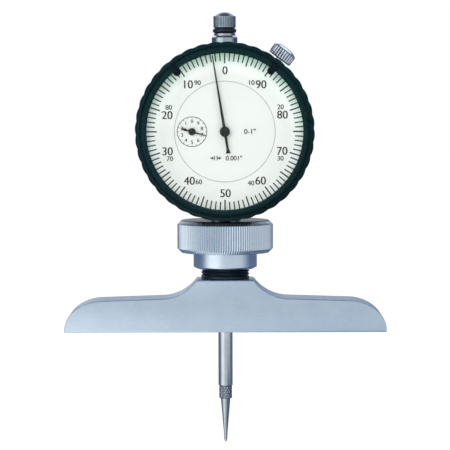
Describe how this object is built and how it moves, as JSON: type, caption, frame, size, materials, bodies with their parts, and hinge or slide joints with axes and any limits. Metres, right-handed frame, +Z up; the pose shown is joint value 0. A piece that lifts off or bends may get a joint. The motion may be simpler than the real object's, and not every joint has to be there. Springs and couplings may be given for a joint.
{
  "type": "dial depth gauge",
  "caption": "Dial depth gauge: round dial head clamped above a flat bridge base by a knurled nut, with a needle point below.",
  "frame": {"origin": "centre of the measuring face, on the axis of the spindle", "axes": "+Z up along the spindle towards the dial, +X along the base to the right seen from the dial side, the dial faces -Y"},
  "size_m": [0.1016, 0.0337, 0.1365],
  "materials": {
    "satin_chrome": "satin chrome plate on steel",
    "ground_steel": "ground stainless steel",
    "black_oxide": "black oxide, slight sheen",
    "black_paint": "semi-matt black with a green-blue cast",
    "brass": "plain machined brass",
    "blue_steel": "tempered steel",
    "dial_white": "matt white print ground",
    "rubber": "soft matt",
    "crystal": "clear acrylic"
  },
  "bodies": {
    "base": {"base": "satin_chrome", "collet_bush": "black_oxide"},
    "clamp_nut": {"clamp_nut": "satin_chrome"},
    "collet": {"collet": "ground_steel"},
    "head": {"case": "black_paint", "back_cover": "black_paint", "cover_screw_1": "ground_steel", "cover_screw_2": "ground_steel", "cover_screw_3": "ground_steel", "cover_screw_4": "ground_steel", "stem": "ground_steel", "top_bush": "satin_chrome", "movement_plate": "brass", "rear_bridge": "brass", "pillar_1": "brass", "pillar_2": "brass", "pillar_3": "brass", "pillar_4": "brass", "rear_pillar_1": "brass", "rear_pillar_2": "brass", "plate_screw_1": "blue_steel", "plate_screw_2": "blue_steel", "bridge_screw_1": "blue_steel", "bridge_screw_2": "blue_steel", "guide_screw": "blue_steel", "guide_plate": "ground_steel", "return_spring": "ground_steel", "spring_post": "blue_steel", "hairspring_stud": "brass", "inner_dial": "dial_white", "bezel_wire": "ground_steel", "clamp_block": "black_paint"},
    "spindle": {"spindle": "ground_steel", "contact_point": "ground_steel", "lifting_cap": "satin_chrome", "o_ring": "rubber", "guide_pin": "blue_steel", "spring_arm": "blue_steel"},
    "rack_wheel": {"rack_pinion": "ground_steel", "rack_gear": "brass"},
    "pointer": {"centre_pinion": "ground_steel", "pointer": "black_oxide", "pointer_hub": "black_oxide"},
    "counter": {"counter_gear": "brass", "counter_arbor": "ground_steel", "counter_hand": "black_oxide", "hairspring": "blue_steel"},
    "bezel": {"bezel": "black_paint", "crystal": "crystal", "outer_dial": "dial_white", "dial_spacer": "black_paint"},
    "limit_right": {"limit_hand_right": "black_oxide"},
    "limit_left": {"limit_hand_left": "black_oxide"},
    "bezel_clamp": {"bezel_clamp_screw": "satin_chrome"}
  },
  "joints": [
    {"name": "nut_turn", "type": "hinge", "parent": "base", "child": "clamp_nut", "pos_m": [0, 0, 0.03], "axis": [0, 0, 1], "range_deg": [0, 180]},
    {"name": "head_swivel", "type": "hinge", "parent": "base", "child": "collet", "pos_m": [0, 0, 0.025], "axis": [0, 0, 1], "continuous": true},
    {"name": "head_slide", "type": "slide", "parent": "collet", "child": "head", "axis": [0, 0, 1], "range_m": [0, 0.008]},
    {"name": "spindle_slide", "type": "slide", "parent": "head", "child": "spindle", "axis": [0, 0, 1], "range_m": [0, 0.0258], "stiffness_N_per_m": 20, "springref_m": -0.045, "deforming": ["return_spring"]},
    {"name": "rack_turn", "type": "hinge", "parent": "head", "child": "rack_wheel", "pos_m": [-0.00495, 0, 0.07223], "axis": [0, 1, 0], "range_deg": [-366, 0]},
    {"name": "pointer_turn", "type": "hinge", "parent": "head", "child": "pointer", "pos_m": [0, 0, 0.06335], "axis": [0, 1, 0], "range_deg": [0, 3660]},
    {"name": "counter_turn", "type": "hinge", "parent": "head", "child": "counter", "pos_m": [-0.01017, 0, 0.06335], "axis": [0, 1, 0], "range_deg": [-366, 0]},
    {"name": "bezel_turn", "type": "hinge", "parent": "head", "child": "bezel", "pos_m": [0, -0.014, 0.06335], "axis": [0, 1, 0], "continuous": true},
    {"name": "limit_right_turn", "type": "hinge", "parent": "bezel", "child": "limit_right", "pos_m": [0, -0.018, 0.06335], "axis": [0, 1, 0], "range_deg": [-34, 100]},
    {"name": "limit_left_turn", "type": "hinge", "parent": "bezel", "child": "limit_left", "pos_m": [0, -0.018, 0.06335], "axis": [0, 1, 0], "range_deg": [-100, 34]},
    {"name": "bezel_clamp_turn", "type": "hinge", "parent": "head", "child": "bezel_clamp", "pos_m": [0.01805, -0.0055, 0.08731], "axis": [0.6018, 0, 0.7986], "range_deg": [0, 180]}
  ],
  "couplings": [
    {"joint": "rack_turn", "follows": "spindle_slide", "rad_per_m": -247.37},
    {"joint": "pointer_turn", "follows": "spindle_slide", "rad_per_m": 2473.7},
    {"joint": "counter_turn", "follows": "spindle_slide", "rad_per_m": -247.37}
  ]
}
